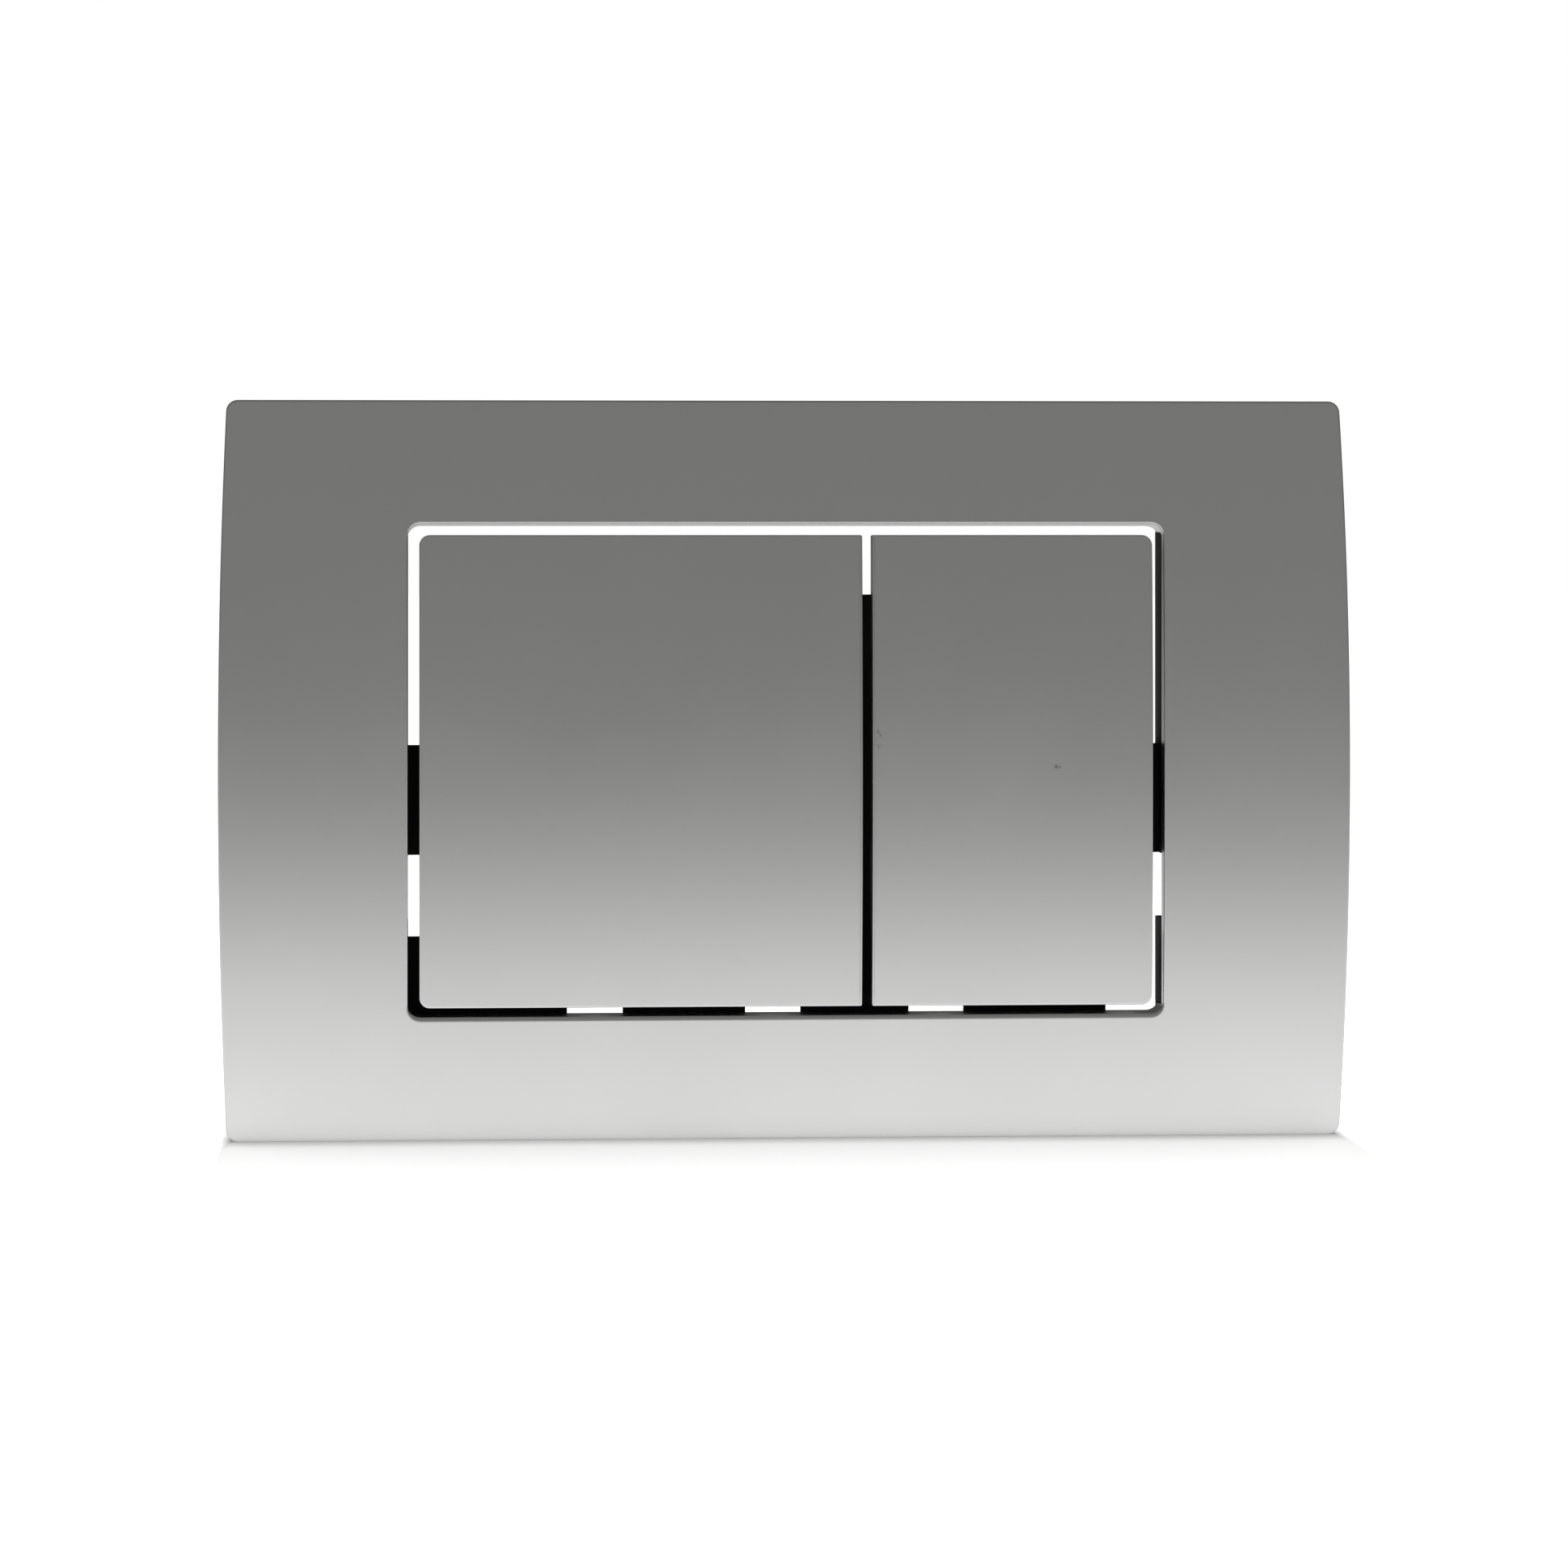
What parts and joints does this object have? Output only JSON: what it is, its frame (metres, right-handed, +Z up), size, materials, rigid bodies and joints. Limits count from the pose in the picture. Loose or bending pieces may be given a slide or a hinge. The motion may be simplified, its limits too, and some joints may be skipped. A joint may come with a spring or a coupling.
{
  "type": "flush button plate",
  "caption": "Dual flush button plate for a concealed cistern: crowned satin chrome cover with a full and a half flush button, carrier, push rods and wall frame.",
  "frame": {"origin": "centre of the plate on the wall plane, midway between the two fixing bolts", "axes": "+X to the right seen from the room, +Y into the wall, +Z up"},
  "size_m": [0.25, 0.059, 0.163],
  "materials": {
    "satin_chrome": "satin chrome plating on moulded ABS, blurred reflections",
    "black_plastic": "black moulded ABS, fine grain",
    "grey_plastic": "dark moulded plastic of the wall frame",
    "white_plastic": "natural acetal, slightly waxy",
    "cap_plastic": "light grey acetal caps",
    "steel": "drawn stainless wire",
    "spring_steel": "spring steel, bright",
    "zinc_steel": "zinc-plated steel",
    "rubber": "soft black rubber"
  },
  "bodies": {
    "frame": {"cover_plate": "satin_chrome", "button_carrier": "black_plastic", "wall_frame": "grey_plastic", "full_hinge_pin": "steel", "half_hinge_pin": "steel", "full_stop_buffers": "rubber", "half_stop_buffers": "rubber", "carrier_screws": "zinc_steel", "full_rod_spring": "spring_steel", "half_rod_spring": "spring_steel", "left_fixing_bolt": "white_plastic", "right_fixing_bolt": "white_plastic", "left_bolt_washer": "zinc_steel", "right_bolt_washer": "zinc_steel", "upper_left_clip": "spring_steel", "upper_right_clip": "spring_steel", "lower_left_clip": "spring_steel", "lower_right_clip": "spring_steel"},
    "full_button": {"full_flush_button": "satin_chrome"},
    "half_button": {"half_flush_button": "satin_chrome"},
    "full_rod": {"full_push_rod": "white_plastic", "full_rod_head": "cap_plastic"},
    "half_rod": {"half_push_rod": "white_plastic", "half_rod_head": "cap_plastic"}
  },
  "joints": [
    {"name": "full_button_press", "type": "hinge", "parent": "frame", "child": "full_button", "pos_m": [-0.0223, -0.0075, 0.033], "axis": [1, 0, 0], "range_deg": [0, 4], "stiffness_Nm_per_rad": 3, "springref_deg": -5.73},
    {"name": "half_button_press", "type": "hinge", "parent": "frame", "child": "half_button", "pos_m": [0.05602, -0.0075, 0.033], "axis": [1, 0, 0], "range_deg": [0, 4], "stiffness_Nm_per_rad": 3, "springref_deg": -5.73},
    {"name": "full_rod_slide", "type": "slide", "parent": "frame", "child": "full_rod", "axis": [0, 1, 0], "range_m": [0, 0.0054], "stiffness_N_per_m": 300, "springref_m": -0.006, "deforming": ["full_rod_spring"]},
    {"name": "half_rod_slide", "type": "slide", "parent": "frame", "child": "half_rod", "axis": [0, 1, 0], "range_m": [0, 0.0054], "stiffness_N_per_m": 300, "springref_m": -0.006, "deforming": ["half_rod_spring"]}
  ],
  "couplings": [
    {"joint": "full_rod_slide", "follows": "full_button_press", "m_per_rad": 0.077},
    {"joint": "half_rod_slide", "follows": "half_button_press", "m_per_rad": 0.077}
  ]
}
